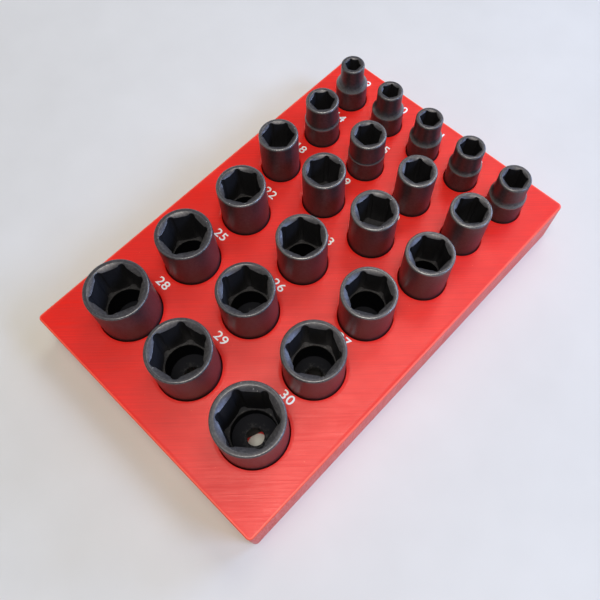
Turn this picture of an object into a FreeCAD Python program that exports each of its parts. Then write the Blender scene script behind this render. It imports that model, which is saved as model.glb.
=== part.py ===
import FreeCAD, Part
import os

import Sketcher
from FreeCAD import Placement, Rotation, Vector

# Socket organiser: a flat tray that keeps a set of deep impact sockets upright, drive end down.
# Millimetres. X runs across the tray, Y from its front edge to its back edge, Z up.
# The origin is the middle of the tray's underside, which is what the organiser rests on.

# Driving dimensions shared by the whole set
SIZES = {
    # Tray: one block with a round pocket for each socket
    "tray_width": 194.0,
    "tray_depth": 295.0,
    "tray_height": 37.5,
    "tray_floor": 2.0,
    "tray_corner_radius": 3.0,
    "tray_edge_chamfer": 1.0,
    # Rows of pockets: equal gaps, and a little more room beside the outer walls
    "wall_margin": 6.1,
    "pocket_clearance": 0.7,
    "floor_hole_diameter": 14.0,
    # Sockets: what every size shares
    "socket_length": 70.0,
    "rim_chamfer": 1.0,
    "hexagon_clearance": 0.3,
    "shoulder_depth": 17.3,
    "drive_square": 12.8,
    "drive_depth": 17.0,
    "bore_floor_height": 22.0,
    # The strip in front of the first sockets, in row gaps, and proportions that every socket keeps
    "front_gap_share": 1.5,
    "taper_share": 2.0,
    "bore_share": 0.94,
    "pilot_share": 0.85,
    "small_bore_share": 0.8,
}

# Each socket: distance across the hexagon's flats, wall outside its corners, its depth, the angle
# that the socket happens to stand at, and the drive end's diameter where the socket is stepped
SOCKETS = {
    "09": {"flats": 9.0, "wall": 2.7, "hexagon_depth": 29.0, "turn": 31.0, "drive_end": 22.0},
    "10": {"flats": 10.0, "wall": 2.6, "hexagon_depth": 29.0, "turn": 2.0, "drive_end": 22.0},
    "11": {"flats": 11.0, "wall": 2.5, "hexagon_depth": 29.0, "turn": 29.0, "drive_end": 22.0},
    "12": {"flats": 12.0, "wall": 2.4, "hexagon_depth": 29.0, "turn": 28.0, "drive_end": 22.0},
    "13": {"flats": 13.0, "wall": 2.6, "hexagon_depth": 29.0, "turn": 38.0, "drive_end": 24.0},
    "14": {"flats": 14.0, "wall": 2.8, "hexagon_depth": 29.0, "turn": 50.0, "drive_end": 24.0},
    "15": {"flats": 15.0, "wall": 3.0, "hexagon_depth": 29.0, "turn": 56.0, "drive_end": 24.8},
    "16": {"flats": 16.0, "wall": 3.1, "hexagon_depth": 29.0, "turn": 1.0},
    "17": {"flats": 17.0, "wall": 3.0, "hexagon_depth": 29.0, "turn": 47.0},
    "18": {"flats": 18.0, "wall": 2.5, "hexagon_depth": 29.0, "turn": 44.0},
    "19": {"flats": 19.0, "wall": 2.9, "hexagon_depth": 29.0, "turn": 4.0},
    "20": {"flats": 20.0, "wall": 3.3, "hexagon_depth": 29.0, "turn": 24.0},
    "21": {"flats": 21.0, "wall": 2.8, "hexagon_depth": 29.0, "turn": 29.0},
    "22": {"flats": 22.0, "wall": 3.0, "hexagon_depth": 29.0, "turn": 28.0},
    "23": {"flats": 23.0, "wall": 2.6, "hexagon_depth": 29.0, "turn": 18.0},
    "24": {"flats": 24.0, "wall": 3.0, "hexagon_depth": 23.0, "turn": 28.0},
    "25": {"flats": 25.0, "wall": 3.4, "hexagon_depth": 30.0, "turn": 56.0},
    "26": {"flats": 26.0, "wall": 2.8, "hexagon_depth": 30.0, "turn": 16.0},
    "27": {"flats": 27.0, "wall": 3.2, "hexagon_depth": 28.0, "turn": 34.0},
    "28": {"flats": 28.0, "wall": 3.6, "hexagon_depth": 29.0, "turn": 8.0},
    "29": {"flats": 29.0, "wall": 3.0, "hexagon_depth": 30.0, "turn": 12.0},
    "30": {"flats": 30.0, "wall": 3.8, "hexagon_depth": 39.0, "turn": 160.0},
}

# The rows from the tray's back edge to its front edge, each from left to right
ROWS = (
    ("09", "10", "11", "12", "13"),
    ("14", "15", "16", "17"),
    ("18", "19", "20", "21"),
    ("22", "23", "24"),
    ("25", "26", "27"),
    ("28", "29", "30"),
)

# Sockets whose hexagon ends on a ledge round a wide bore
BORED = ("21", "22", "23", "24", "25", "26", "27", "28", "29", "30")

# How constraints refer to a sketch's parts: its axes count down from -1, and the points of an
# element up from 1; the origin is the first point of the horizontal axis
HORIZONTAL_AXIS, VERTICAL_AXIS = range(-1, -3, -1)
START_POINT, END_POINT, CENTRE_POINT = range(1, 4)
ORIGIN = (HORIZONTAL_AXIS, START_POINT)

# Sketch geometry is drawn at this size and then moved by its constraints
DRAWN = 1.0
UP = Vector(0, 0, 1)
HEXAGON_SIDES = 6


def add_sizes(doc):
    """Writes every driving dimension to the spreadsheet, one cell and one alias each."""
    sheet = doc.addObject("Spreadsheet::Sheet", "Sizes")
    cells = dict(SIZES)
    for label, values in SOCKETS.items():
        for word, value in values.items():
            cells[f"{word}_{label}"] = value
    for row, (alias, value) in enumerate(cells.items(), start=1):
        sheet.set(f"A{row}", alias)
        sheet.set(f"B{row}", str(value))
        sheet.setAlias(f"B{row}", alias)
    doc.recompute()
    return sheet


# Expressions for the sizes that follow from the cells

def flat_radius(label):
    """From a socket's axis to the middle of one flat of its hexagon."""
    return f"((Sizes.flats_{label} + Sizes.hexagon_clearance) / 2)"


def corner_radius(label):
    """From a socket's axis to a corner of its hexagon."""
    return f"({flat_radius(label)} / cos(30 deg))"


def nose_radius(label):
    """Outside of the end that takes the hexagon."""
    return f"({corner_radius(label)} + Sizes.wall_{label})"


def is_stepped(label):
    return "drive_end" in SOCKETS[label]


def drive_radius(label):
    """Outside of the end that takes the square drive."""
    if is_stepped(label):
        return f"(Sizes.drive_end_{label} / 2)"
    return nose_radius(label)


def pocket_radius(label):
    """Pocket that the widest part of the socket passes through."""
    if is_stepped(label):
        return f"(max({nose_radius(label)}; {drive_radius(label)}) + Sizes.pocket_clearance)"
    return f"({nose_radius(label)} + Sizes.pocket_clearance)"


def row_radius(row):
    """Half of the room that a row takes along Y: its last pocket is its widest."""
    return pocket_radius(row[-1])


def across_place(row, label):
    """X of a pocket: the gaps between a row's pockets, and beside them, are equal."""
    pockets = " + ".join(pocket_radius(other) for other in row)
    free_width = f"(Sizes.tray_width - 2 * Sizes.wall_margin - 2 * ({pockets}))"
    gap = f"({free_width} / {len(row) + 1})"
    index = row.index(label)
    passed = "".join(f" + 2 * {pocket_radius(other)}" for other in row[:index])
    start = "Sizes.wall_margin - Sizes.tray_width / 2"
    return f"{start} + {index + 1} * {gap}{passed} + {pocket_radius(label)}"


def row_gap():
    """Gap between two rows: the rows share out the depth that they leave free."""
    rows = " + ".join(row_radius(row) for row in ROWS)
    free_depth = f"(Sizes.tray_depth - 2 * Sizes.wall_margin - 2 * ({rows}))"
    return f"({free_depth} / ({len(ROWS)} + Sizes.front_gap_share))"


def depth_place(row):
    """Y of a row, counted from the tray's back edge."""
    index = ROWS.index(row)
    passed = "".join(f" - 2 * {row_radius(other)}" for other in ROWS[:index])
    start = "Sizes.tray_depth / 2 - Sizes.wall_margin"
    return f"{start} - {index + 1} * {row_gap()}{passed} - {row_radius(row)}"


# Sketches and features

def add_sketch(body, name, plane_role, height=None):
    """Adds a sketch on one of the body's origin planes, raised by an expression."""
    plane = next(item for item in body.Origin.OriginFeatures if item.Role == plane_role)
    sketch = body.newObject("Sketcher::SketchObject", name)
    sketch.AttachmentSupport = (plane, "")
    sketch.MapMode = "FlatFace"
    if height:
        sketch.setExpression("AttachmentOffset.Base.z", height)
    return sketch


def bind(sketch, kind, elements, name, expression):
    """Adds one dimension to a sketch and ties it to an expression."""
    index = sketch.addConstraint(Sketcher.Constraint(kind, *elements, DRAWN))
    sketch.renameConstraint(index, name)
    sketch.setExpression(f"Constraints.{name}", expression)


def bind_point(sketch, element, name, across, along):
    """Ties a point of a sketch to its two coordinates, where 0 puts it on an axis."""
    if across == "0":
        sketch.addConstraint(Sketcher.Constraint("PointOnObject", *element, VERTICAL_AXIS))
    else:
        bind(sketch, "DistanceX", (*ORIGIN, *element), f"{name}_across", across)
    if along == "0":
        sketch.addConstraint(Sketcher.Constraint("PointOnObject", *element, HORIZONTAL_AXIS))
    else:
        bind(sketch, "DistanceY", (*ORIGIN, *element), f"{name}_along", along)


def draw_outline(sketch, points):
    """Draws a closed outline through named points, each given by two expressions."""
    corners = [Vector(index * DRAWN, index * index * DRAWN, 0) for index in range(len(points))]
    for index, corner in enumerate(corners):
        sketch.addGeometry(Part.LineSegment(corner, corners[(index + 1) % len(corners)]))
    for index in range(len(points)):
        following = (index + 1) % len(points)
        ends = (index, END_POINT, following, START_POINT)
        sketch.addConstraint(Sketcher.Constraint("Coincident", *ends))
    for index, (name, (across, along)) in enumerate(points.items()):
        bind_point(sketch, (index, START_POINT), name, across, along)


def draw_circle(sketch, name, across, along, radius):
    """Draws a circle tied to its place and radius."""
    index = sketch.addGeometry(Part.Circle(Vector(DRAWN, DRAWN, 0), UP, DRAWN))
    bind(sketch, "Radius", (index,), f"{name}_radius", radius)
    bind_point(sketch, (index, CENTRE_POINT), name, across, along)


def add_pocket(body, name, sketch, depth, upward=False):
    """Cuts a sketch into the body, downward unless it is drawn on the underside."""
    pocket = body.newObject("PartDesign::Pocket", name)
    pocket.Profile = sketch
    pocket.setExpression("Length", depth)
    pocket.Reversed = upward
    return pocket


def edge_names(shape, test):
    return [f"Edge{number}" for number, edge in enumerate(shape.Edges, start=1) if test(edge)]


def dress_edges(body, kind, name, base, test):
    """Adds a fillet or chamfer on those edges of the base feature that pass the test."""
    body.Document.recompute()
    dressed = body.newObject(f"PartDesign::{kind}", name)
    dressed.Base = (base, edge_names(base.Shape, test))
    return dressed


# The tray

def add_tray(doc):
    """Block with rounded edges, a round pocket for each socket and a hole in each pocket's floor."""
    body = doc.addObject("PartDesign::Body", "tray")
    outline = add_sketch(body, "tray_outline", "XY_Plane")
    left = "-Sizes.tray_width / 2"
    right = "Sizes.tray_width / 2"
    front = "-Sizes.tray_depth / 2"
    back = "Sizes.tray_depth / 2"
    draw_outline(outline, {
        "front_left": (left, front),
        "front_right": (right, front),
        "back_right": (right, back),
        "back_left": (left, back),
    })
    block = body.newObject("PartDesign::Pad", "tray_block")
    block.Profile = outline
    block.setExpression("Length", "Sizes.tray_height")

    def stands_upright(edge):
        return abs(edge.tangentAt(edge.FirstParameter).z) > abs(UP.z) / 2

    def lies_on_top(edge):
        return edge.BoundBox.ZMin > block.Length.Value / 2

    corners = dress_edges(body, "Fillet", "tray_corners", block, stands_upright)
    corners.setExpression("Radius", "Sizes.tray_corner_radius")
    top_edge = dress_edges(body, "Chamfer", "tray_top_edge", corners, lies_on_top)
    top_edge.setExpression("Size", "Sizes.tray_edge_chamfer")
    pockets = add_sketch(body, "pocket_plan", "XY_Plane", "Sizes.tray_height")
    holes = add_sketch(body, "floor_hole_plan", "XY_Plane", "Sizes.tray_floor")
    for row in ROWS:
        for label in row:
            place = (across_place(row, label), depth_place(row))
            draw_circle(pockets, f"pocket_{label}", *place, pocket_radius(label))
            draw_circle(holes, f"hole_{label}", *place, "Sizes.floor_hole_diameter / 2")
    add_pocket(body, "tray_pockets", pockets, "Sizes.tray_height - Sizes.tray_floor")
    add_pocket(body, "tray_floor_holes", holes, "Sizes.tray_floor")
    return body


# The sockets

def outer_points(label):
    """Outside of a socket in half section, from the foot of its wall up to the rim."""
    nose = nose_radius(label)
    drive = drive_radius(label)
    points = {"foot": (drive, "0")}
    if is_stepped(label):
        shoulder = "Sizes.socket_length - Sizes.shoulder_depth"
        points["shoulder"] = (drive, shoulder)
        points["neck"] = (nose, f"{shoulder} + Sizes.taper_share * ({drive} - {nose})")
    points["chamfer_foot"] = (nose, "Sizes.socket_length - Sizes.rim_chamfer")
    points["rim_outside"] = (f"{nose} - Sizes.rim_chamfer", "Sizes.socket_length")
    return points


def inner_points(label):
    """Inside of a socket in half section, from the rim down to the foot."""
    pilot = "(Sizes.pilot_share * Sizes.drive_square / 2)"
    if label in BORED:
        inside = f"(Sizes.bore_share * {flat_radius(label)})"
    else:
        inside = f"min({pilot}; Sizes.small_bore_share * {flat_radius(label)})"
    points = {"rim_inside": (inside, "Sizes.socket_length")}
    if label in BORED:
        points["bore_floor"] = (inside, "Sizes.bore_floor_height")
        points["pilot_mouth"] = (pilot, "Sizes.bore_floor_height")
        points["pilot_foot"] = (pilot, "0")
    else:
        points["bore_foot"] = (inside, "0")
    return points


def draw_hexagon(sketch, radius):
    """Draws a regular hexagon with one corner on the horizontal axis."""
    circle = sketch.addGeometry(Part.Circle(Vector(0, 0, 0), UP, DRAWN), True)
    sketch.addConstraint(Sketcher.Constraint("Coincident", circle, CENTRE_POINT, *ORIGIN))
    bind(sketch, "Radius", (circle,), "corner_radius", radius)
    turn = Rotation(UP, 360 / HEXAGON_SIDES)
    corner = Vector(DRAWN, 0, 0)
    sides = []
    for _ in range(HEXAGON_SIDES):
        following = turn.multVec(corner)
        sides.append(sketch.addGeometry(Part.LineSegment(corner, following)))
        corner = following
    for side, following in zip(sides, sides[1:] + sides[:1]):
        ends = (side, END_POINT, following, START_POINT)
        sketch.addConstraint(Sketcher.Constraint("Coincident", *ends))
        sketch.addConstraint(Sketcher.Constraint("PointOnObject", side, START_POINT, circle))
    for side in sides[1:]:
        sketch.addConstraint(Sketcher.Constraint("Equal", sides[0], side))
    on_axis = ("PointOnObject", sides[0], START_POINT, HORIZONTAL_AXIS)
    sketch.addConstraint(Sketcher.Constraint(*on_axis))


def add_socket(doc, row, label):
    """Turned socket with a hexagon in its top and a square drive in its foot, one side to a flat."""
    name = f"socket_{label}mm"
    body = doc.addObject("PartDesign::Body", name)
    profile = add_sketch(body, f"{name}_profile", "XZ_Plane")
    draw_outline(profile, {**outer_points(label), **inner_points(label)})
    turned = body.newObject("PartDesign::Revolution", f"{name}_turned")
    turned.Profile = profile
    turned.ReferenceAxis = (profile, ["V_Axis"])
    turned.Angle = 360

    hexagon = add_sketch(body, f"{name}_hexagon", "XY_Plane", "Sizes.socket_length")
    draw_hexagon(hexagon, corner_radius(label))
    add_pocket(body, f"{name}_hexagon_cut", hexagon, f"Sizes.hexagon_depth_{label}")

    square = add_sketch(body, f"{name}_square", "XY_Plane")
    low = "-Sizes.drive_square / 2"
    high = "Sizes.drive_square / 2"
    draw_outline(square, {
        "first": (low, low),
        "second": (high, low),
        "third": (high, high),
        "fourth": (low, high),
    })
    add_pocket(body, f"{name}_square_cut", square, "Sizes.drive_depth", upward=True)

    body.Placement = Placement(Vector(0, 0, 0), Rotation(UP, DRAWN))
    body.setExpression("Placement.Base.x", across_place(row, label))
    body.setExpression("Placement.Base.y", depth_place(row))
    body.setExpression("Placement.Base.z", "Sizes.tray_floor")
    body.setExpression("Placement.Rotation.Angle", f"Sizes.turn_{label} * 1 deg")
    return body


# Checks and files

def check_document(doc):
    """Stops at a feature that failed, or a cut that removed nothing."""
    for item in doc.Objects:
        if "Invalid" in item.State or "Error" in item.State:
            raise RuntimeError(f"{item.Name} failed: {item.State}")
        if item.isDerivedFrom("PartDesign::Pocket"):
            before = item.BaseFeature.Shape.Volume
            if item.Shape.Volume >= before:
                raise RuntimeError(f"{item.Name} cuts nothing")


def check_body(body):
    shape = body.Shape
    if shape.isNull() or not shape.isValid():
        raise RuntimeError(f"{body.Label} has no valid shape")
    if len(shape.Solids) != 1:
        raise RuntimeError(f"{body.Label} has {len(shape.Solids)} solids")


def main():
    doc = FreeCAD.newDocument("socket_organiser")
    add_sizes(doc)
    bodies = [add_tray(doc)]
    for row in ROWS:
        for label in row:
            bodies.append(add_socket(doc, row, label))
    doc.recompute()
    check_document(doc)
    for body in bodies:
        check_body(body)
    os.makedirs("parts", exist_ok=True)
    for body in bodies:
        body.Shape.exportStep(f"parts/{body.Label}.step")
        print(body.Label, round(body.Shape.Volume), body.Shape.BoundBox)


main()
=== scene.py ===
"""Looks of a drawer tray that keeps a graded set of deep impact sockets upright.

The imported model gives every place: X runs across the tray, Y from its front edge to its back
edge and Z up, with the tray's underside at zero. Sizes of pieces and the viewpoint are written in
millimetres, and MM turns them into metres where a mesh or the camera is made. The studio's own
sizes are in metres.
"""

import logging
import math
from collections.abc import Iterable, Mapping, Sequence
from dataclasses import dataclass, field
from enum import Enum
from typing import ClassVar, NamedTuple

import bmesh
import bpy
from bmesh.types import BMesh, BMVert
from bpy.types import ID, Material, Mesh, Node, NodeSocket, NodeTree, Object
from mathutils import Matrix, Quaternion, Vector


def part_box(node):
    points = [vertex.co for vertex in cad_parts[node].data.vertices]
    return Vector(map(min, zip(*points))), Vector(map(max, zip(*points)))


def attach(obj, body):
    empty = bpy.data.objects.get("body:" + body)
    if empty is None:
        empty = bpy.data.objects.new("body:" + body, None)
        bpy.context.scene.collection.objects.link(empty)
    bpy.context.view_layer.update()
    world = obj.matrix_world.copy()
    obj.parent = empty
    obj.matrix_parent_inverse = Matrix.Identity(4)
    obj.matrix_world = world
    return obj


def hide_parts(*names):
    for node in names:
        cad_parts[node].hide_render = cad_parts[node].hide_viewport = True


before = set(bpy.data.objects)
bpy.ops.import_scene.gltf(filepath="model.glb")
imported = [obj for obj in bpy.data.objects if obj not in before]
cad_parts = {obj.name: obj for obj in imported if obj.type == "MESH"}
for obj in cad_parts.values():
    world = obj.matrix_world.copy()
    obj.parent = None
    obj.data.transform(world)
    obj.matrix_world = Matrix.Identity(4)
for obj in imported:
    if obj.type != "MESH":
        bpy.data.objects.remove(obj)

MM = 0.001
FULL_TURN = 360.0
QUARTER_TURN = 90.0
HEXAGON_TURN = 60.0
HALF_SECTOR = HEXAGON_TURN / 2

# Names of what the meshes keep on their points for the finishes
# The first of these marks edges that are lightened as wear and as painted highlight
WEAR_AND_HIGHLIGHT = "worn"
INNER = "inner"
BEAD = "bead"

# Values of the inner mark, which is 0 outside
IN_HEXAGON = 1.0
IN_BORE = 2.0

log = logging.getLogger("organiser")

Colour = tuple[float, float, float, float]
Triple = tuple[float, float, float]


class Span(NamedTuple):
    """The two ends of a range."""

    low: float
    high: float


UNIT = Span(0.0, 1.0)
FALLING = Span(1.0, 0.0)
WAVE = Span(-1.0, 1.0)
BELOW_MOUTH = Span(IN_HEXAGON, IN_BORE)


# Shader graphs

Inputs = Mapping[str | int, object]
Sockets = Mapping[str, NodeSocket]


class MixKind(Enum):
    """What a Mix node mixes, with the places of its two inputs and of its result."""

    COLOUR = ("RGBA", 6, 7, 2)
    NORMAL = ("VECTOR", 4, 5, 1)


class Graph:
    """Places nodes in one shader tree and joins them."""

    def __init__(self, tree: NodeTree, source: str, output: str) -> None:
        """Keeps the tree that is filled, and adds the node that tells textures their place.

        Args:
            tree: The tree.
            source: That node's type.
            output: That node's output with the place.
        """
        self.tree = tree
        self.given: Sockets = self.add(source).outputs
        self.place: NodeSocket = self.given[output]

    def add(self, kind: str, settings: Mapping[str, object] | None = None,
            inputs: Inputs | None = None) -> Node:
        """Adds one node.

        Args:
            kind: The node's type without its ShaderNode prefix.
            settings: The node's own properties.
            inputs: A plain value or another node's socket for each named or counted input.

        Returns:
            The node.
        """
        node = self.tree.nodes.new(kind if kind.startswith("NodeGroup") else f"ShaderNode{kind}")
        for name, value in (settings or {}).items():
            setattr(node, name, value)
        for name, value in (inputs or {}).items():
            if isinstance(value, NodeSocket):
                self.tree.links.new(value, node.inputs[name])
            else:
                node.inputs[name].default_value = value
        return node

    def math(self, operation: str, *values: object, clamp: bool = False) -> NodeSocket:
        """Returns the result of one Math node over plain values or sockets."""
        settings = {"operation": operation, "use_clamp": clamp}
        return self.add("Math", settings, dict(enumerate(values))).outputs[0]

    def mix(self, share: object, first: object, second: object,
            kind: MixKind = MixKind.COLOUR) -> NodeSocket:
        """Goes from one colour or normal to another.

        Args:
            share: How much of the second shows, from 0 to 1.
            first: What a share of 0 gives.
            second: What a share of 1 gives.
            kind: What is mixed.

        Returns:
            The mixed colour or normal.
        """
        data_type, lower, upper, result = kind.value
        node = self.add("Mix", {"data_type": data_type}, {0: share, lower: first, upper: second})
        return node.outputs[result]

    def blend(self, share: float, first: object, second: object) -> NodeSocket:
        """Returns the sum of two values, the first by its share and the second by the rest."""
        return self.math("ADD", self.math("MULTIPLY", first, share),
                         self.math("MULTIPLY", second, 1.0 - share))

    def spread(self, value: object, given: Span, wanted: Span = UNIT,
               smooth: bool = False) -> NodeSocket:
        """Maps a value from one range onto another.

        Args:
            value: The socket that is mapped.
            given: The range that it is read in.
            wanted: What the two ends of that range give.
            smooth: Eases both ends.

        Returns:
            The mapped value.
        """
        kind = "SMOOTHSTEP" if smooth else "LINEAR"
        node = self.add("MapRange", {"interpolation_type": kind},
                        dict(enumerate((value, *given, *wanted))))
        return node.outputs[0]

    def noise(self, place: NodeSocket, scale: object, detail: float,
              roughness: float = 0.5) -> NodeSocket:
        """Returns soft noise from 0 to 1 at a place."""
        inputs = {"Vector": place, "Scale": scale, "Detail": detail, "Roughness": roughness}
        return self.add("TexNoise", inputs=inputs).outputs[0]

    def stretched(self, place: NodeSocket, scale: Triple) -> NodeSocket:
        """Returns a place that is scaled along each axis."""
        return self.add("Mapping", inputs={"Vector": place, "Scale": scale}).outputs[0]

    def split(self) -> Sockets:
        """Returns the three coordinates of the graph's own place."""
        return self.add("SeparateXYZ", inputs={0: self.place}).outputs

    def attribute(self, name: str) -> NodeSocket:
        """Returns the number that the mesh keeps under a name."""
        return self.add("Attribute", {"attribute_name": name}).outputs["Fac"]

    def upward(self) -> NodeSocket:
        """Returns how far the surface faces up, from -1 to 1."""
        facing = self.add("NewGeometry").outputs["Normal"]
        return self.add("SeparateXYZ", inputs={0: facing}).outputs["Z"]

    def effect(self, effect: "Effect", inputs: Inputs) -> NodeSocket:
        """Places a shared effect at the graph's own place and returns its mask."""
        node = self.add("Group", {"node_tree": effect.tree()}, {"Vector": self.place, **inputs})
        return node.outputs[0]

    def bump(self, height: object, distance: float, strength: float,
             normal: NodeSocket | None = None) -> NodeSocket:
        """Turns a height into a normal.

        Args:
            height: The height, from 0 to 1.
            distance: How far a height of 1 stands out, in metres.
            strength: How much of the bump shows.
            normal: The normal that it is laid on, if not the surface's own.

        Returns:
            The normal.
        """
        inputs = {"Height": height, "Distance": distance, "Strength": strength}
        if normal is not None:
            inputs["Normal"] = normal
        return self.add("Bump", inputs=inputs).outputs[0]


# Shared shader effects

class Effect:
    """A shader effect that several finishes share, kept as one node group."""

    title: ClassVar[str]
    inputs: ClassVar[Mapping[str, float]]

    def fill(self, graph: Graph) -> NodeSocket:
        """Returns the effect's mask, made from the group's inputs."""
        raise NotImplementedError

    def tree(self) -> NodeTree:
        """Finds the effect's node group, which is made the first time it is asked for.

        Returns:
            The group, with a Vector, the effect's own inputs and a Mask.
        """
        made = bpy.data.node_groups.get(self.title)
        if made is None:
            made = bpy.data.node_groups.new(self.title, "ShaderNodeTree")
            sockets = made.interface
            sockets.new_socket("Vector", in_out="INPUT", socket_type="NodeSocketVector")
            for name, value in self.inputs.items():
                socket = sockets.new_socket(name, in_out="INPUT", socket_type="NodeSocketFloat")
                socket.default_value = value
            sockets.new_socket("Mask", in_out="OUTPUT", socket_type="NodeSocketFloat")
            graph = Graph(made, "NodeGroupInput", "Vector")
            graph.add("NodeGroupOutput", inputs={"Mask": self.fill(graph)})
        return made


@dataclass(frozen=True)
class Mottle(Effect):
    """Soft uneven patches of two scales laid over each other."""

    title: ClassVar[str] = "mottle"
    inputs: ClassVar[Mapping[str, float]] = {"Scale": 100.0}
    broad_detail: float = 4.0
    broad_share: float = 0.65
    finer: float = 4.7
    fine_detail: float = 3.0
    contrast: Span = Span(0.32, 0.68)

    def fill(self, graph: Graph) -> NodeSocket:
        """Lays the fine patches over the broad ones.

        Args:
            graph: The group's graph.

        Returns:
            The mask.
        """
        scale = graph.given["Scale"]
        broad = graph.noise(graph.place, scale, self.broad_detail)
        finer = graph.math("MULTIPLY", scale, self.finer)
        fine = graph.noise(graph.place, finer, self.fine_detail)
        return graph.spread(graph.blend(self.broad_share, broad, fine), self.contrast)


@dataclass(frozen=True)
class EdgeWearAndHighlight(Effect):
    """Edges lightened as wear and as painted highlight: the mesh marks where they reach, and grain
    breaks them up.
    """

    title: ClassVar[str] = "edge_wear_and_highlight"
    inputs: ClassVar[Mapping[str, float]] = {"Amount": 1.0, "Grain": 900.0}
    grain_detail: float = 5.0
    grain_roughness: float = 0.65
    grain_swing: float = 0.9
    breaking: Span = Span(0.25, 0.85)
    onset: Span = Span(0.02, 0.2)

    def fill(self, graph: Graph) -> NodeSocket:
        """Breaks up the marked edges with grain.

        Args:
            graph: The group's graph.

        Returns:
            The mask.
        """
        grain = graph.noise(graph.place, graph.given["Grain"], self.grain_detail,
                            self.grain_roughness)
        reach = graph.math("MULTIPLY", graph.attribute(WEAR_AND_HIGHLIGHT), graph.given["Amount"])
        swing = graph.math("MULTIPLY_ADD", grain, self.grain_swing, -self.grain_swing / 2)
        broken = graph.math("ADD", reach, swing)
        return graph.math("MULTIPLY", graph.spread(broken, self.breaking, smooth=True),
                          graph.spread(reach, self.onset))


@dataclass(frozen=True)
class SettledDust(Effect):
    """Fine specks that settle on what faces up."""

    title: ClassVar[str] = "settled_dust"
    inputs: ClassVar[Mapping[str, float]] = {"Scale": 400.0, "Amount": 1.0}
    chosen: Span = Span(0.6, 1.0)
    radius: Span = Span(0.0, 0.22)
    level: Span = Span(0.5, 0.95)

    def fill(self, graph: Graph) -> NodeSocket:
        """Keeps a few cells' middles, where the surface is level.

        Args:
            graph: The group's graph.

        Returns:
            The mask.
        """
        cells = graph.add("TexVoronoi", {"feature": "F1"}, {
            "Vector": graph.place, "Scale": graph.given["Scale"], "Randomness": 1.0})
        chance = graph.add("SeparateColor", inputs={0: cells.outputs["Color"]}).outputs[0]
        radius = graph.math("MULTIPLY", graph.spread(chance, self.chosen, self.radius),
                            graph.given["Amount"])
        inside = graph.math("LESS_THAN", cells.outputs["Distance"], radius)
        return graph.math("MULTIPLY", inside, graph.spread(graph.upward(), self.level))


@dataclass(frozen=True)
class Furrows(Effect):
    """Even furrows across one coordinate, which sway a little."""

    title: ClassVar[str] = "furrows"
    inputs: ClassVar[Mapping[str, float]] = {
        "Across": 0.0, "Spacing": 0.5 * MM, "Sway": 0.3, "Sway Scale": 60.0}
    sway_detail: float = 2.0

    def fill(self, graph: Graph) -> NodeSocket:
        """Turns the coordinate into waves.

        Args:
            graph: The group's graph.

        Returns:
            The mask.
        """
        given = graph.given
        sway = graph.noise(graph.place, given["Sway Scale"], self.sway_detail)
        swayed = graph.math("MULTIPLY", sway, given["Sway"])
        turns = graph.math("DIVIDE", given["Across"], given["Spacing"])
        phase = graph.math("MULTIPLY", graph.math("ADD", turns, swayed), math.tau)
        return graph.spread(graph.math("SINE", phase), WAVE)


MOTTLE = Mottle()
EDGE_WEAR_AND_HIGHLIGHT = EdgeWearAndHighlight()
DUST = SettledDust()
FURROWS = Furrows()


# Finishes

class Finish:
    """A finish, made as one node material with a Principled shader."""

    name: str

    def surface(self, graph: Graph) -> Inputs:
        """Returns what the shader is given."""
        raise NotImplementedError

    def material(self) -> Material:
        """Makes the finish.

        Returns:
            A node material.
        """
        material = bpy.data.materials.new(self.name)
        material.use_nodes = True
        material.node_tree.nodes.clear()
        graph = Graph(material.node_tree, "TexCoord", "Object")
        shader = graph.add("BsdfPrincipled", inputs=self.surface(graph))
        graph.add("OutputMaterial", inputs={"Surface": shader.outputs[0]})
        return material


@dataclass(frozen=True)
class Ridges:
    """Even ridges that cutting or printing leaves, in metres."""

    spacing: float
    depth: float
    strength: float
    sway: float
    sway_scale: float

    def height(self, graph: Graph, across: NodeSocket) -> NodeSocket:
        """Returns their height across a coordinate, from 0 to 1."""
        return graph.effect(FURROWS, {"Across": across, "Spacing": self.spacing,
                                      "Sway": self.sway, "Sway Scale": self.sway_scale})

    def bump(self, graph: Graph, height: NodeSocket,
             normal: NodeSocket | None = None) -> NodeSocket:
        """Returns the normal that a height gives at their depth."""
        return graph.bump(height, self.depth, self.strength, normal)


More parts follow.
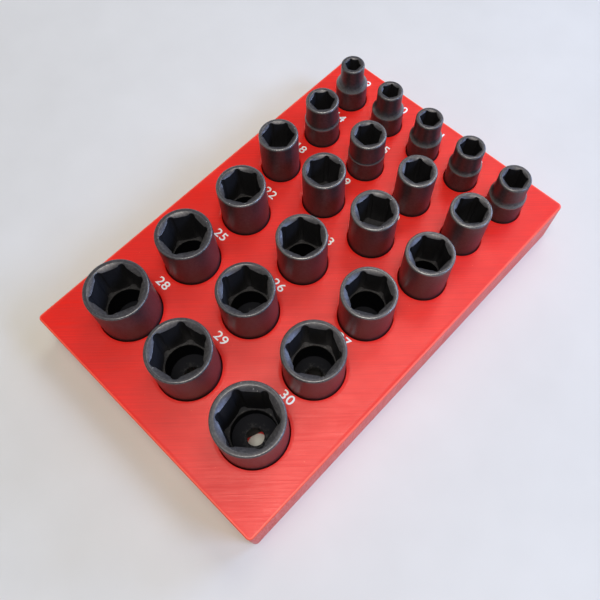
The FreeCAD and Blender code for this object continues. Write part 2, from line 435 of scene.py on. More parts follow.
@dataclass(frozen=True)
class PhosphateSteel(Finish):
    """Dark phosphated steel: satin, turned outside, broached inside, rubbed and given painted
    highlight along its edges, with painted shade deep inside.
    """

    name: str = "phosphate_steel"
    dark: Colour = (0.05, 0.047, 0.049, 1.0)
    light: Colour = (0.088, 0.084, 0.087, 1.0)
    # Painted shade for the socket's depths
    depth_shade: Colour = (0.012, 0.0125, 0.016, 1.0)
    # Lighter colour for edges, as wear and as painted highlight
    rubbed_and_highlight: Colour = (0.19, 0.185, 0.18, 1.0)
    speck: Colour = (0.6, 0.58, 0.55, 1.0)
    mottle_scale: float = 620.0
    wear_highlight_amount: float = 0.9
    wear_highlight_grain: float = 700.0
    dust_scale: float = 420.0
    dust_amount: float = 0.45
    dust_reach: float = 0.5
    depth_shade_share: float = 0.96
    roughness: Span = Span(0.34, 0.4)
    rubbed_roughness: float = -0.12
    sludge_roughness: float = 0.3
    metallic: Span = Span(0.45, 0.95)
    specular_level: float = 0.25
    turning: Ridges = Ridges(spacing=0.55 * MM, depth=0.012 * MM, strength=0.6, sway=1.2,
                             sway_scale=45.0)
    broach_depth: float = 0.05 * MM
    broach_scale: Triple = (1600.0, 1600.0, 30.0)
    broach_detail: float = 3.0
    pitting_depth: float = 0.014 * MM
    pitting_strength: float = 0.45
    pitting_scale: float = 2400.0
    pitting_detail: float = 2.0

    def surface(self, graph: Graph) -> Inputs:
        """Lays painted shade in the depths, edges lightened as wear and painted highlight, and dust
        over uneven grey, duller deeper in.

        Args:
            graph: The finish's graph.

        Returns:
            What the shader is given.
        """
        inner = graph.attribute(INNER)
        patches = graph.effect(MOTTLE, {"Scale": self.mottle_scale})
        worn = graph.effect(EDGE_WEAR_AND_HIGHLIGHT, {"Amount": self.wear_highlight_amount, "Grain": self.wear_highlight_grain})
        specks = graph.effect(DUST, {"Scale": self.dust_scale, "Amount": self.dust_amount})
        outside = graph.spread(inner, Span(0.0, self.dust_reach), FALLING)
        dust = graph.math("MULTIPLY", specks, outside)
        plain = graph.mix(patches, self.dark, self.light)
        # Painted shade: the steel darkens from the mouth down into the bore
        depth_shading = graph.spread(inner, Span(0.0, IN_BORE), Span(0.0, self.depth_shade_share))
        # Edges take the lighter colour as wear and painted highlight, over the painted shade of the
        # depths
        rubbed_and_highlight = graph.mix(worn, graph.mix(depth_shading, plain, self.depth_shade), self.rubbed_and_highlight)
        satin = graph.spread(patches, UNIT, self.roughness)
        bare = graph.spread(worn, UNIT, Span(0.0, self.rubbed_roughness))
        sludge = graph.spread(inner, BELOW_MOUTH, Span(0.0, self.sludge_roughness))
        metal = graph.spread(inner, BELOW_MOUTH, self.metallic)
        return {
            "Base Color": graph.mix(dust, rubbed_and_highlight, self.speck),
            "Roughness": graph.math("ADD", graph.math("ADD", satin, bare), sludge),
            "Metallic": graph.math("MULTIPLY", metal, graph.math("SUBTRACT", 1.0, dust)),
            "Specular IOR Level": self.specular_level,
            "Normal": self.relief(graph, inner)}

    def relief(self, graph: Graph, inner: NodeSocket) -> NodeSocket:
        """Lays the marks of cutting over fine pits: rings outside, upright scores in the hexagon.

        Args:
            graph: The finish's graph.
            inner: The mesh's inner mark.

        Returns:
            The normal.
        """
        split = graph.split()
        squares = [graph.math("MULTIPLY", split[axis], split[axis]) for axis in ("X", "Y")]
        radius = graph.math("SQRT", graph.math("ADD", *squares))
        turned = self.turning.height(graph, graph.math("ADD", radius, split["Z"]))
        upright = graph.stretched(graph.place, self.broach_scale)
        scores = graph.noise(upright, 1.0, self.broach_detail)
        deep = graph.math("MULTIPLY", scores, self.broach_depth / self.turning.depth)
        elsewhere = graph.math("ABSOLUTE", graph.math("SUBTRACT", inner, IN_HEXAGON))
        broached = graph.math("SUBTRACT", 1.0, elsewhere, clamp=True)
        marks = graph.math("ADD", graph.math("MULTIPLY", turned, elsewhere),
                           graph.math("MULTIPLY", deep, broached))
        pits = graph.noise(graph.place, self.pitting_scale, self.pitting_detail)
        pitted = graph.bump(pits, self.pitting_depth, self.pitting_strength)
        return self.turning.bump(graph, marks, pitted)


@dataclass(frozen=True)
class PrintedPlastic(Finish):
    """Plastic laid down in fine beads: rings round each opening, slanting rows, level layers."""

    name: str
    deep: Colour
    bright: Colour
    # Paler colour for edges, as wear and painted highlight, and for dust
    edge: Colour
    ringed: bool = True
    slant: float = -45.0
    streak_scale: Triple = (1500.0, 30.0, 60.0)
    streak_detail: float = 3.0
    streak_share: float = 0.75
    patch_scale: float = 24.0
    tone_reach: Span = Span(0.22, 0.74)
    gloss_reach: Span = Span(0.32, 0.66)
    roughness: Span = Span(0.46, 0.3)
    wear_highlight_amount: float = 1.0
    wear_highlight_grain: float = 300.0
    wear_highlight_share: float = 0.7
    dust_scale: float = 260.0
    dust_amount: float = 0.3
    beads: Ridges = Ridges(spacing=0.45 * MM, depth=0.05 * MM, strength=0.5, sway=0.35,
                           sway_scale=25.0)
    layers: Ridges = Ridges(spacing=0.3 * MM, depth=0.05 * MM, strength=0.7, sway=0.2,
                            sway_scale=12.0)
    ring_reach: float = 1.75
    level_reach: Span = Span(0.55, 0.95)

    def surface(self, graph: Graph) -> Inputs:
        """Lays paler edges, as wear and painted highlight, and dust over the streaky colour.

        Args:
            graph: The finish's graph.

        Returns:
            What the shader is given.
        """
        tone = self.tone(graph)
        plain = graph.mix(graph.spread(tone, self.tone_reach), self.deep, self.bright)
        worn = graph.effect(EDGE_WEAR_AND_HIGHLIGHT, {"Amount": self.wear_highlight_amount, "Grain": self.wear_highlight_grain})
        dust = graph.effect(DUST, {"Scale": self.dust_scale, "Amount": self.dust_amount})
        # Paler edges: wear and painted highlight
        edged = graph.mix(graph.math("MULTIPLY", worn, self.wear_highlight_share), plain, self.edge)
        return {
            "Base Color": graph.mix(dust, edged, self.edge),
            "Roughness": graph.spread(tone, self.gloss_reach, self.roughness),
            "Normal": self.relief(graph)}

    def tone(self, graph: Graph) -> NodeSocket:
        """Makes streaks along the printed rows, with broad patches under them.

        Args:
            graph: The finish's graph.

        Returns:
            The tone, from 0 to 1.
        """
        turn = (0.0, 0.0, -math.radians(self.slant))
        along = graph.add("Mapping", inputs={"Vector": graph.place, "Rotation": turn})
        drawn = graph.stretched(along.outputs[0], self.streak_scale)
        streaks = graph.noise(drawn, 1.0, self.streak_detail)
        patches = graph.effect(MOTTLE, {"Scale": self.patch_scale})
        return graph.blend(self.streak_share, streaks, patches)

    def rows(self, graph: Graph, split: Sockets) -> NodeSocket:
        """Finds how far a point lies across the beads: slanting rows, and rings near openings.

        Args:
            graph: The finish's graph.
            split: The point's coordinates.

        Returns:
            The distance in metres.
        """
        turn = math.radians(self.slant)
        slanting = graph.math("ADD", graph.math("MULTIPLY", split["X"], math.cos(turn)),
                              graph.math("MULTIPLY", split["Y"], math.sin(turn)))
        if not self.ringed:
            return slanting
        bead = graph.attribute(BEAD)
        beyond = graph.math("GREATER_THAN", bead, self.ring_reach)
        within = graph.math("SUBTRACT", 1.0, beyond)
        rings = graph.math("MULTIPLY", bead, MM)
        return graph.math("ADD", graph.math("MULTIPLY", slanting, beyond),
                          graph.math("MULTIPLY", rings, within))

    def relief(self, graph: Graph) -> NodeSocket:
        """Makes the laid beads: rows on level faces, layers on upright ones.

        Args:
            graph: The finish's graph.

        Returns:
            The normal.
        """
        split = graph.split()
        lying = self.beads.bump(graph, self.beads.height(graph, self.rows(graph, split)))
        standing = self.layers.bump(graph, self.layers.height(graph, split["Z"]))
        level = graph.spread(graph.math("ABSOLUTE", graph.upward()), self.level_reach,
                             smooth=True)
        return graph.mix(level, standing, lying, MixKind.NORMAL)


@dataclass(frozen=True)
class StudioPaper(Finish):
    """Pale seamless paper under the tray."""

    name: str = "studio_paper"
    dark: Colour = (0.64, 0.625, 0.585, 1.0)
    light: Colour = (0.69, 0.675, 0.635, 1.0)
    patch_scale: float = 6.0
    roughness: float = 0.85

    def surface(self, graph: Graph) -> Inputs:
        """Returns uneven pale paper for the shader."""
        colour = graph.mix(graph.effect(MOTTLE, {"Scale": self.patch_scale}), self.dark, self.light)
        return {"Base Color": colour, "Roughness": self.roughness}


# Meshes

class Corner(NamedTuple):
    """One point of a half section, in millimetres, with what its piece's finish reads there."""

    radius: float
    height: float
    worn: float = 0.0
    mark: float = 0.0


def quarter_round(radius: float, height: float, bend: float, start: float, end: float,
                  steps: int, worn: float = 0.0) -> list[Corner]:
    """Points of a small round in half section.

    Args:
        radius: Distance of the round's centre from the axis.
        height: Height of the round's centre.
        bend: The round's own radius.
        start: Angle of its first point, where 0 is outward and 90 up.
        end: Angle of its last point.
        steps: How many pieces the round is divided into.
        worn: How far rubbing and painted highlight reach the round.

    Returns:
        The points from start to end.
    """
    angles = [math.radians(start + (end - start) * step / steps) for step in range(steps + 1)]
    return [Corner(radius + bend * math.cos(a), height + bend * math.sin(a), worn)
            for a in angles]


def link_object(name: str, data: ID) -> Object:
    """Makes an object of a mesh, a lamp or a camera.

    Args:
        name: The object's name.
        data: What it shows.

    Returns:
        The object, linked to the scene.
    """
    made = bpy.data.objects.new(name, data)
    bpy.context.scene.collection.objects.link(made)
    return made


def finish_mesh(name: str, build: BMesh, sharp: float,
                material: Material) -> Object:
    """Turns a built mesh into a smooth-shaded object with crisp edges.

    Args:
        name: The piece's name.
        build: The mesh, which is freed.
        sharp: Edges that turn by more than this many degrees stay crisp.
        material: Its finish.

    Returns:
        The object, linked to the scene.
    """
    bmesh.ops.recalc_face_normals(build, faces=build.faces)
    mesh = bpy.data.meshes.new(name)
    build.to_mesh(mesh)
    build.free()
    mesh.materials.append(material)
    mesh.shade_smooth()
    mesh.set_sharp_from_angle(angle=math.radians(sharp))
    return link_object(name, mesh)


def seat(piece: Object, body: str, node: str | None = None) -> None:
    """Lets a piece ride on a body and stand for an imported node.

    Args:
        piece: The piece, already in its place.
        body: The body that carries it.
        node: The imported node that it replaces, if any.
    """
    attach(piece, body)
    if node:
        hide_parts(node)
    log.info("%s rides on %s", piece.name, body)


# Sockets

class Outside(Enum):
    """How a socket looks from outside."""

    STRAIGHT = "straight"
    STEPPED = "stepped"


class Inside(Enum):
    """What lies under a socket's hexagon."""

    NARROW = "narrow way through"
    LEDGED = "wide bore under a ledge"


# Largest size without a ledge, and how far rubbing and painted highlight reach on the sizes in most
# use
WIDEST_NARROW = 20
HANDLED_AND_HIGHLIT = 0.8


@dataclass(frozen=True)
class SocketSize:
    """What sets one socket of the set apart, in millimetres and degrees."""

    across: int
    wall: float
    turn: float
    hexagon_depth: float = 29.0
    drive_end: float = 0.0
    rubbing_and_highlight: float = 0.55

    @property
    def node(self) -> str:
        """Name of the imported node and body."""
        return f"socket_{self.across:02d}mm"

    @property
    def outside(self) -> Outside:
        """Stepped where the drive end has its own diameter."""
        return Outside.STEPPED if self.drive_end else Outside.STRAIGHT

    @property
    def inside(self) -> Inside:
        """The wide sizes have a ledge and a bore."""
        return Inside.LEDGED if self.across > WIDEST_NARROW else Inside.NARROW


SIZES = (
    SocketSize(9, wall=2.7, turn=31.0, drive_end=22.0),
    SocketSize(10, wall=2.6, turn=2.0, drive_end=22.0),
    SocketSize(11, wall=2.5, turn=29.0, drive_end=22.0),
    SocketSize(12, wall=2.4, turn=28.0, drive_end=22.0),
    SocketSize(13, wall=2.6, turn=38.0, drive_end=24.0),
    SocketSize(14, wall=2.8, turn=50.0, drive_end=24.0, rubbing_and_highlight=HANDLED_AND_HIGHLIT),
    SocketSize(15, wall=3.0, turn=56.0, drive_end=24.8, rubbing_and_highlight=HANDLED_AND_HIGHLIT),
    SocketSize(16, wall=3.1, turn=1.0, rubbing_and_highlight=HANDLED_AND_HIGHLIT),
    SocketSize(17, wall=3.0, turn=47.0, rubbing_and_highlight=HANDLED_AND_HIGHLIT),
    SocketSize(18, wall=2.5, turn=44.0, rubbing_and_highlight=HANDLED_AND_HIGHLIT),
    SocketSize(19, wall=2.9, turn=4.0, rubbing_and_highlight=HANDLED_AND_HIGHLIT),
    SocketSize(20, wall=3.3, turn=24.0, rubbing_and_highlight=HANDLED_AND_HIGHLIT),
    SocketSize(21, wall=2.8, turn=29.0, rubbing_and_highlight=HANDLED_AND_HIGHLIT),
    SocketSize(22, wall=3.0, turn=28.0, rubbing_and_highlight=HANDLED_AND_HIGHLIT),
    SocketSize(23, wall=2.6, turn=18.0, rubbing_and_highlight=HANDLED_AND_HIGHLIT),
    SocketSize(24, wall=3.0, turn=28.0, hexagon_depth=23.0, rubbing_and_highlight=HANDLED_AND_HIGHLIT),
    SocketSize(25, wall=3.4, turn=56.0, hexagon_depth=30.0),
    SocketSize(26, wall=2.8, turn=16.0, hexagon_depth=30.0),
    SocketSize(27, wall=3.2, turn=34.0, hexagon_depth=28.0),
    SocketSize(28, wall=3.6, turn=8.0),
    SocketSize(29, wall=3.0, turn=12.0, hexagon_depth=30.0),
    SocketSize(30, wall=3.8, turn=160.0, hexagon_depth=39.0),
)


@dataclass
class Socket:
    """A deep impact socket: hexagon up, square drive down, turned outside."""

    size: SocketSize
    # Outside, where rim_loops tell how many rim rounds below the top the wall's loops lie
    foot_round: float = 0.8
    foot_steps: int = 4
    rim_round: float = 1.0
    rim_steps: int = 6
    rim_loops: tuple[float, float] = (3.2, 1.5)
    # Shares of the rim's wear and painted highlight on the wall below the rim and on the flat ring
    rim_wear_highlight_share: float = 0.35
    ring_inset: float = 1.4
    ring_wear_highlight_share: float = 0.45
    # Step and taper, whose parts tell how far up the taper its points lie
    shoulder_depth: float = 17.3
    shoulder_round: float = 0.4
    shoulder_sweep: float = 55.0
    shoulder_steps: int = 3
    shoulder_loop: float = 5.0
    taper_share: float = 2.4
    taper_parts: tuple[float, ...] = (0.12, 0.25, 0.45, 0.65, 0.85, 1.0)
    taper_hollow: float = 2.0
    # Painted highlight on the taper's lower part, and how fast it fades upward
    taper_highlight: float = 0.95
    taper_highlight_fade: float = 1.5
    # Hexagon and its countersink
    hexagon_clearance: float = 0.3
    lobe_share: float = 0.2
    lobe_inset: float = 0.9
    lead_in_margin_share: float = 0.065
    lead_in_angle: float = 30.0
    lip: float = 0.15
    lips_across: float = 3.0
    lip_crown: tuple[float, float] = (0.2, 0.35)
    # Wear and painted highlight along the countersink's lips and near the top of the hexagon's wall
    lip_wear_highlight: tuple[float, float, float, float] = (0.4, 0.6, 0.4, 0.35)
    wall_loops: tuple[float, float] = (0.3, 2.0)
    wall_wear_highlight: tuple[float, float] = (0.5, 0.1)
    wall_guard: float = 4.0
    # Bore and drive
    bore_share: float = 0.94
    small_bore_share: float = 0.8
    small_bore_mark: float = 1.5
    bore_floor: float = 22.0
    pilot_radius: float = 5.44
    drive_half: float = 6.4
    drive_depth: float = 17.0
    edge_break: float = 0.35
    # Wear and painted highlight on the small slants into the bores
    edge_wear_and_highlight: tuple[float, float] = (0.4, 0.5)
    edge_guard: float = 3.0
    # Inner mark that grows in a deep hexagon for each millimetre past the unshaded depth, adding
    # painted shade there
    unshaded_depth: float = 29.0
    depth_shade_rise: float = 0.065
    # Mesh
    column_angles: tuple[float, ...] = (0.0, 2.2, 4.4, 6.4, 8.2, 9.4, 10.1, 11.0, 13.0, 16.0,
                                        20.0, 25.0, 30.0)
    crisp: float = 32.0
    centre: Vector = field(init=False)
    length: float = field(init=False)

    def __post_init__(self) -> None:
        """Reads the socket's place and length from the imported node."""
        low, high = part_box(self.size.node)
        self.centre = Vector(((low.x + high.x) / 2, (low.y + high.y) / 2, low.z))
        self.length = (high.z - low.z) / MM

    @property
    def flat_radius(self) -> float:
        """From the axis to the middle of a flat."""
        return (self.size.across + self.hexagon_clearance) / 2

    @property
    def corner_radius(self) -> float:
        """From the axis to where two flats would meet."""
        return self.flat_radius / math.cos(math.radians(HALF_SECTOR))

    @property
    def nose_radius(self) -> float:
        """Outside of the hexagon's end."""
        return self.corner_radius + self.size.wall

    @property
    def drive_radius(self) -> float:
        """Outside of the drive's end."""
        stepped = self.size.outside is Outside.STEPPED
        return self.size.drive_end / 2 if stepped else self.nose_radius

    @property
    def widest(self) -> float:
        """The larger of the two outside radii."""
        return max(self.nose_radius, self.drive_radius)

    @property
    def floor_mark(self) -> float:
        """Inner mark of the hexagon's floor."""
        return IN_HEXAGON + self.depth_shade_rise * max(0.0, self.size.hexagon_depth - self.unshaded_depth)

    def hexagon_radius(self, angle: float) -> float:
        """Radius of the hexagon with its rounded relief in the corners.

        Args:
            angle: Degrees from one of the corners.

        Returns:
            The radius in millimetres.
        """
        off_corner = abs((angle + HALF_SECTOR) % HEXAGON_TURN - HALF_SECTOR)
        flat = self.flat_radius / math.cos(math.radians(HALF_SECTOR - off_corner))
        lobe = self.lobe_share * self.flat_radius
        out = self.corner_radius - self.lobe_inset * lobe
        aside = out * math.sin(math.radians(off_corner))
        if aside >= lobe:
            return flat
        relief = out * math.cos(math.radians(off_corner)) + math.sqrt(lobe ** 2 - aside ** 2)
        return max(flat, relief)

    def square_radius(self, angle: float) -> float:
        """Radius of the square drive, one of whose sides faces a flat."""
        off_side = abs((angle + QUARTER_TURN / 2) % QUARTER_TURN - QUARTER_TURN / 2)
        return self.drive_half / math.cos(math.radians(off_side))

    def outer_section(self) -> list[Corner]:
        """Draws the outside in half section.

        Returns:
            The points, from the underside's rounded edge up to the flat ring at the top.
        """
        foot, rim, rubbing_and_highlight = self.foot_round, self.rim_round, self.size.rubbing_and_highlight
        points = quarter_round(self.drive_radius - foot, foot, foot, -QUARTER_TURN, 0.0,
                               self.foot_steps)
        if self.size.outside is Outside.STEPPED:
            points += self.shoulder()
        top, nose = self.length, self.nose_radius
        lower, upper = self.rim_loops
        points.append(Corner(nose, top - lower * rim))
        # The wall under the rim, the rim's round and the flat ring are lightened as wear and
        # painted highlight
        points.append(Corner(nose, top - upper * rim, self.rim_wear_highlight_share * rubbing_and_highlight))
        points += quarter_round(nose - rim, top - rim, rim, 0.0, QUARTER_TURN, self.rim_steps,
                                rubbing_and_highlight)
        points.append(Corner(nose - self.ring_inset * rim, top, self.ring_wear_highlight_share * rubbing_and_highlight))
        return points

    def shoulder(self) -> list[Corner]:
        """Draws the rounded edge above the drive end and the hollow taper up to the nose.

        Returns:
            The points, from below the edge up to the nose.
        """
        step = self.drive_radius - self.nose_radius
        foot = self.length - self.shoulder_depth
        bend = min(self.shoulder_round, step / 2)
        points = [Corner(self.drive_radius, foot - self.shoulder_loop * bend)]
        # The shoulder's round is lightened fully, as wear and painted highlight
        points += quarter_round(self.drive_radius - bend, foot - bend, bend, 0.0,
                                self.shoulder_sweep, self.shoulder_steps, worn=1.0)
        start = points[-1]
        drop = start.radius - self.nose_radius
        rise = self.taper_share * step + bend
        # Painted highlight on the lower taper, fading out upward
        for part in self.taper_parts:
            left = 1.0 - part
            points.append(Corner(self.nose_radius + drop * left ** self.taper_hollow,
                                 start.height + rise * part,
                                 self.taper_highlight * left ** self.taper_highlight_fade))
        return points

    def mouth_section(self, angle: float) -> list[Corner]:
        """Draws the countersink and the hexagon's wall.

        Args:
            angle: Degrees from one of the hexagon's corners.

        Returns:
            The points from the flat ring down, with the countersink cut lower where the
            hexagon is narrower.
        """
        top = self.length
        slope = math.tan(math.radians(self.lead_in_angle))
        wall = self.hexagon_radius(angle)
        mouth = self.corner_radius + self.lead_in_margin_share * self.flat_radius
        meet = top - (mouth - wall) * slope
        lip = min(self.lip, (mouth - wall) / self.lips_across)
        crown_in, crown_down = self.lip_crown
        # Wear and painted highlight along the lips, at the wall's top edge and fading below it
        ring_wear_highlight, crown_wear_highlight, inner_wear_highlight, meet_wear_highlight = self.lip_wear_highlight
        edge_loop, lower_loop = self.wall_loops
        edge_wear_and_highlight, lower_wear_highlight = self.wall_wear_highlight
        return [
            Corner(mouth + lip, top, ring_wear_highlight),
            Corner(mouth - crown_in * lip, top - crown_down * lip, crown_wear_highlight),
            Corner(mouth - lip, top - lip * slope, inner_wear_highlight),
            Corner(wall + lip, meet + lip * slope, meet_wear_highlight),
            Corner(wall, meet - edge_loop * lip, edge_wear_and_highlight, IN_HEXAGON / 2),
            Corner(wall, meet - lower_loop * lip, lower_wear_highlight, IN_HEXAGON),
            Corner(wall, meet - self.wall_guard, 0.0, IN_HEXAGON),
            Corner(wall, top - self.size.hexagon_depth, 0.0, self.floor_mark),
        ]

    def lower_section(self, angle: float) -> list[Corner]:
        """Draws what lies under the hexagon.

        Args:
            angle: Degrees from one of the hexagon's corners.

        Returns:
            The points from the hexagon's floor down through the bore and the drive.
        """
        pilot = self.pilot_radius
        floor = self.length - self.size.hexagon_depth
        if self.size.inside is Inside.LEDGED:
            bore = self.bore_share * self.flat_radius
            points = self.broken_edge(bore, floor, self.floor_mark)
            points.append(Corner(bore, self.bore_floor, 0.0, IN_BORE))
            points += self.broken_edge(pilot, self.bore_floor, IN_BORE)
        else:
            pilot = min(pilot, self.small_bore_share * self.flat_radius)
            points = self.broken_edge(pilot, floor, self.small_bore_mark)
        square = self.square_radius(angle)
        return points + [Corner(pilot, self.drive_depth, 0.0, IN_BORE),
                         Corner(square, self.drive_depth, 0.0, IN_BORE),
                         Corner(square, 0.0, 0.0, IN_BORE)]

    def broken_edge(self, radius: float, height: float, inner: float) -> list[Corner]:
        """Draws the small slant where a level ring drops into a narrower bore.

        Args:
            radius: The bore's radius.
            height: The ring's height.
            inner: The inner mark on the ring.

        Returns:
            The points from the ring down into the bore.
        """
        bend = self.edge_break
        # Wear and painted highlight on the slant's two edges
        ring_wear_highlight, bore_wear_highlight = self.edge_wear_and_highlight
        return [Corner(radius + bend, height, ring_wear_highlight, inner),
                Corner(radius, height - bend, bore_wear_highlight, inner),
                Corner(radius, height - self.edge_guard * bend, 0.0, IN_BORE)]

    def columns(self) -> list[float]:
        """Places the mesh's columns, closer together round each corner.

        Returns:
            Their angles, once round.
        """
        sides = [angle for angle in self.column_angles if 0.0 < angle < HALF_SECTOR]
        around = sorted([-angle for angle in sides] + list(self.column_angles))
        corners = range(int(FULL_TURN / HEXAGON_TURN))
        return [corner * HEXAGON_TURN + angle for corner in corners for angle in around]

    def build(self, steel: Material) -> Object:
        """Builds the socket, turned as it stands in the tray, and seats it.

        Args:
            steel: Its finish.

        Returns:
            The piece.
        """
        build = bmesh.new()
        worn = build.verts.layers.float.new(WEAR_AND_HIGHLIGHT)
        inner = build.verts.layers.float.new(INNER)
        rings: list[list[BMVert]] = []
        for angle in self.columns():
            section = self.outer_section() + self.mouth_section(angle) + self.lower_section(angle)
            turned = math.radians(angle + self.size.turn)
            ring = []
            for point in section:
                vertex = build.verts.new((point.radius * math.cos(turned) * MM,
                                          point.radius * math.sin(turned) * MM,
                                          point.height * MM))
                vertex[worn] = point.worn
                vertex[inner] = point.mark
                ring.append(vertex)
            rings.append(ring)
        for ring, following in zip(rings, rings[1:] + rings[:1]):
            for index, vertex in enumerate(ring):
                after = (index + 1) % len(ring)
                build.faces.new((vertex, following[index], following[after], ring[after]))
        piece = finish_mesh(f"steel_{self.size.node}", build, self.crisp, steel)
        piece.location = self.centre
        seat(piece, self.size.node, self.size.node)
        return piece


# Tray

Loop = list[BMVert]


@dataclass
class Tray:
    """A block with a round pocket for each socket and a hole through each pocket's floor."""

    sockets: Sequence[Socket]
    corner_radius: float = 3.0
    corner_steps: int = 8
    edge_round: float = 0.9
    edge_steps: int = 5
    foot_round: float = 0.5
    foot_steps: int = 3
    floor: float = 2.0
    pocket_clearance: float = 0.7
    mouth_round: float = 0.3
    mouth_steps: int = 3
    hole_radius: float = 7.0
    circle_steps: int = 96
    ring_width: float = 1.8
    guard: float = 0.7
    crisp: float = 40.0
    node: str = "tray"

    def outline(self, build: BMesh, point: Corner) -> Loop:
        """Adds one level loop round the block.

        Args:
            build: The mesh that it joins.
            point: How far it lies from the block's sides, negative inward, and its height.

        Returns:
            The loop's vertices.
        """
        low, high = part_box(self.node)
        bend = self.corner_radius * MM
        reach = bend + point.radius * MM
        loop = []
        corners = ((high.x - bend, high.y - bend), (low.x + bend, high.y - bend),
                   (low.x + bend, low.y + bend), (high.x - bend, low.y + bend))
        for quarter, (x, y) in enumerate(corners):
            for step in range(self.corner_steps + 1):
                angle = math.radians(QUARTER_TURN * (quarter + step / self.corner_steps))
                loop.append(build.verts.new((x + reach * math.cos(angle),
                                             y + reach * math.sin(angle), point.height * MM)))
        self.mark(build, loop, point)
        return loop

    def circle(self, build: BMesh, centre: Vector, point: Corner) -> Loop:
        """Adds one level circle round a pocket's axis.

        Args:
            build: The mesh that it joins.
            centre: A point on the pocket's axis.
            point: The circle's radius and height.

        Returns:
            The circle's vertices.
        """
        turns = [math.tau * step / self.circle_steps for step in range(self.circle_steps)]
        loop = [build.verts.new((centre.x + point.radius * MM * math.cos(turn),
                                 centre.y + point.radius * MM * math.sin(turn),
                                 point.height * MM)) for turn in turns]
        self.mark(build, loop, point)
        return loop

    def mark(self, build: BMesh, loop: Loop, point: Corner) -> None:
        """Writes what the finish reads on each vertex of a loop.

        Args:
            build: The mesh that the loop is in.
            loop: The vertices.
            point: The section's point that they stand for.
        """
        worn, bead = (build.verts.layers.float[name] for name in (WEAR_AND_HIGHLIGHT, BEAD))
        for vertex in loop:
            vertex[worn] = point.worn
            vertex[bead] = point.mark

    def join(self, build: BMesh, loops: Sequence[Loop]) -> None:
        """Joins each loop to the next one with four-sided faces.

        Args:
            build: The mesh that the loops are in.
            loops: Loops of equal length, in order.
        """
        for lower, upper in zip(loops, loops[1:]):
            for index, vertex in enumerate(lower):
                after = (index + 1) % len(lower)
                build.faces.new((vertex, lower[after], upper[after], upper[index]))

    def sheet(self, build: BMesh, loops: Iterable[Loop]) -> None:
        """Fills the level sheet between an outline and the circles inside it.

        Args:
            build: The mesh that the loops are in.
            loops: The outline and the circles.
        """
        edges = []
        for loop in loops:
            for index, vertex in enumerate(loop):
                pair = (vertex, loop[(index + 1) % len(loop)])
                edges.append(build.edges.get(pair) or build.edges.new(pair))
        bmesh.ops.triangle_fill(build, use_beauty=True, use_dissolve=False, edges=edges)

    def side_section(self, top: float) -> list[Corner]:
        """Draws the block's side.

        Args:
            top: Height of the block.

        Returns:
            The points from the underside's edge to the outer ring on the top.
        """
        foot, edge = self.foot_round, self.edge_round
        points = quarter_round(-foot, foot, foot, -QUARTER_TURN, 0.0, self.foot_steps)
        points.append(Corner(0.0, top - edge - self.guard))
        # The top edge's round is lightened as wear and painted highlight
        points += quarter_round(-edge, top - edge, edge, 0.0, QUARTER_TURN, self.edge_steps,
                                worn=1.0)
        points.append(Corner(-edge - self.guard, top, 0.0, self.guard))
        points.append(Corner(-edge - self.ring_width, top, 0.0, self.ring_width))
        return points

    def pocket_section(self, socket: Socket, top: float) -> list[Corner]:
        """Draws one pocket in half section.

        Args:
            socket: The socket that stands in it.
            top: Height of the block.

        Returns:
            The points from the ring round its mouth down to the underside.
        """
        radius = socket.widest + self.pocket_clearance
        bend = self.mouth_round
        points = [Corner(radius + bend + self.ring_width, top, 0.0, self.ring_width)]
        points += quarter_round(radius + bend, top - bend, bend, QUARTER_TURN, 2 * QUARTER_TURN,
                                self.mouth_steps)
        points += [Corner(radius, self.floor), Corner(self.hole_radius, self.floor),
                   Corner(self.hole_radius, 0.0)]
        return points

    def build(self, plastic: Material) -> Object:
        """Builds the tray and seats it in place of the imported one.

        Args:
            plastic: Its finish.

        Returns:
            The piece.
        """
        build = bmesh.new()
        build.verts.layers.float.new(WEAR_AND_HIGHLIGHT)
        build.verts.layers.float.new(BEAD)
        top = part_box(self.node)[1].z / MM
        sides = [self.outline(build, point) for point in self.side_section(top)]
        self.join(build, sides)
        mouths, ends = [sides[-1]], [sides[0]]
        for socket in self.sockets:
            section = self.pocket_section(socket, top)
            loops = [self.circle(build, socket.centre, point) for point in section]
            self.join(build, loops)
            mouths.append(loops[0])
            ends.append(loops[-1])
        self.sheet(build, mouths)
        self.sheet(build, ends)
        piece = finish_mesh("printed_tray", build, self.crisp, plastic)
        seat(piece, self.node, self.node)
        return piece


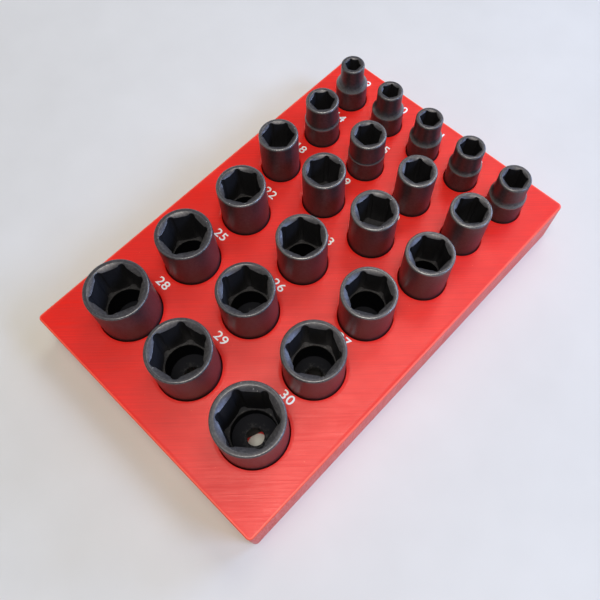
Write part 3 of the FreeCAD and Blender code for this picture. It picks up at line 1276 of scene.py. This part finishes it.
@dataclass
class Numeral:
    """White number behind a socket, inlaid in the tray's top."""

    socket: Socket
    height: float = 6.1
    widening: float = 1.14
    gap: float = 7.3
    thickness: float = 0.12
    sunk: float = 0.06
    letter_spacing: float = 1.06
    boldness: float = 0.012
    drawn_depth: float = 0.5
    body: str = "tray"

    def build(self, white: Material) -> Object:
        """Builds the number as a thin solid, reading along X, and seats it.

        Args:
            white: Its finish.

        Returns:
            The piece.
        """
        name = f"numeral_{self.socket.size.across:02d}"
        mesh = self.draw(name)
        mesh.materials.clear()
        mesh.materials.append(white)
        piece = link_object(name, mesh)
        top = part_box(self.body)[1].z
        centre = self.socket.centre
        piece.location = (centre.x, centre.y + (self.socket.widest + self.gap) * MM,
                          top + (self.thickness / 2 - self.sunk) * MM)
        seat(piece, self.body)
        return piece

    def draw(self, name: str) -> Mesh:
        """Draws the number and turns it into a mesh.

        Args:
            name: The mesh's name.

        Returns:
            The mesh, at its own size and round its own middle.
        """
        text = bpy.data.curves.new(name, "FONT")
        text.body = str(self.socket.size.across)
        text.space_character = self.letter_spacing
        text.extrude = self.drawn_depth
        text.offset = self.boldness
        drawn = bpy.data.objects.new(name, text)
        mesh = bpy.data.meshes.new_from_object(drawn)
        bpy.data.objects.remove(drawn)
        mesh.name = name
        self.fit(mesh)
        return mesh

    def fit(self, mesh: Mesh) -> None:
        """Centres the drawn number and brings it to its height, width and thickness.

        Args:
            mesh: The drawn number.
        """
        points = [vertex.co for vertex in mesh.vertices]
        low = Vector([min(point[axis] for point in points) for axis in range(3)])
        high = Vector([max(point[axis] for point in points) for axis in range(3)])
        middle, extent = (low + high) / 2, high - low
        upright = self.height * MM / extent.y
        scale = Vector((upright * self.widening, upright, self.thickness * MM / extent.z))
        for vertex in mesh.vertices:
            vertex.co = (vertex.co - middle) * scale


# Studio

@dataclass
class Lamp:
    """One soft oblong lamp aimed at the tray, in metres and watts."""

    name: str
    place: Triple
    width: float
    height: float
    power: float
    colour: Triple

    def build(self, aim: Vector) -> Object:
        """Hangs the lamp.

        Args:
            aim: The point that it is turned to.

        Returns:
            The lamp.
        """
        light = bpy.data.lights.new(self.name, "AREA")
        light.shape = "RECTANGLE"
        light.size = self.width
        light.size_y = self.height
        light.energy = self.power
        light.color = self.colour
        lamp = link_object(self.name, light)
        lamp.location = self.place
        lamp.rotation_mode = "QUATERNION"
        lamp.rotation_quaternion = (aim - lamp.location).to_track_quat("-Z", "Y")
        return lamp


@dataclass
class Studio:
    """Pale floor, even surrounding light and soft lamps, in metres."""

    floor_side: float = 6.0
    surround: float = 0.12
    surround_colour: Colour = (1.0, 0.96, 0.9, 1.0)
    aim: Triple = (0.0, 0.0, 0.04)
    lamps: tuple[Lamp, ...] = (
        Lamp("overhead", (0.25, -0.26, 2.05), 0.8, 0.8, 27.5, (1.0, 0.96, 0.87)),
        Lamp("near_window", (1.48, 0.79, 1.4), 0.8, 0.6, 25.0, (0.4, 0.56, 1.0)),
        Lamp("far_window", (0.6, 1.85, 1.0), 0.8, 0.6, 21.0, (0.4, 0.56, 1.0)),
        Lamp("back", (-0.19, 0.76, 1.28), 0.5, 0.5, 4.0, (1.0, 0.97, 0.93)),
    )

    def build(self, paper: Material) -> None:
        """Lays the floor, sets the surrounding light and hangs the lamps.

        Args:
            paper: The floor's finish.
        """
        half = self.floor_side / 2
        mesh = bpy.data.meshes.new("floor")
        mesh.from_pydata([(-half, -half, 0.0), (half, -half, 0.0), (half, half, 0.0),
                          (-half, half, 0.0)], [], [(0, 1, 2, 3)])
        mesh.materials.append(paper)
        floor = link_object("floor", mesh)
        world = bpy.data.worlds.new("studio")
        world.use_nodes = True
        shade = world.node_tree.nodes["Background"]
        shade.inputs["Color"].default_value = self.surround_colour
        shade.inputs["Strength"].default_value = self.surround
        bpy.context.scene.world = world
        for lamp in self.lamps:
            lamp.build(Vector(self.aim))
        bpy.context.scene.view_settings.view_transform = "Standard"


@dataclass
class Viewpoint:
    """The photograph's viewpoint, in millimetres and degrees."""

    place: Triple = (137.55, -136.28, 413.82)
    aim: Triple = (16.32, -23.98, 37.5)
    roll: float = -3.54
    lens: float = 38.722
    sensor: float = 36.0
    nearest: float = 10.0
    farthest: float = 20000.0

    def build(self) -> Object:
        """Sets up the camera and makes it the scene's own.

        Returns:
            The camera.
        """
        data = bpy.data.cameras.new("viewpoint")
        data.sensor_width = self.sensor
        data.lens = self.lens
        data.clip_start = self.nearest * MM
        data.clip_end = self.farthest * MM
        camera = link_object("viewpoint", data)
        place = Vector(self.place) * MM
        level = (Vector(self.aim) * MM - place).to_track_quat("-Z", "Y")
        camera.location = place
        camera.rotation_mode = "QUATERNION"
        camera.rotation_quaternion = level @ Quaternion((0.0, 0.0, 1.0), math.radians(self.roll))
        bpy.context.scene.camera = camera
        return camera


def main() -> None:
    """Builds the organiser's pieces in order, then the studio and the camera."""
    logging.basicConfig(level=logging.INFO, format="%(message)s")
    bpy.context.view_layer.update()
    steel = PhosphateSteel().material()
    red = PrintedPlastic("red_printed_plastic", deep=(0.69, 0.008, 0.005, 1.0),
                         bright=(0.87, 0.017, 0.009, 1.0), edge=(0.98, 0.13, 0.07, 1.0)).material()
    white = PrintedPlastic("white_printed_plastic", deep=(0.88, 0.88, 0.86, 1.0),
                           bright=(0.96, 0.96, 0.94, 1.0), edge=(0.95, 0.95, 0.95, 1.0),
                           ringed=False).material()
    sockets = [Socket(size) for size in SIZES]
    for socket in sockets:
        socket.build(steel)
    Tray(sockets).build(red)
    for socket in sockets:
        Numeral(socket).build(white)
    Studio().build(StudioPaper().material())
    Viewpoint().build()


if __name__ == "__main__":
    main()
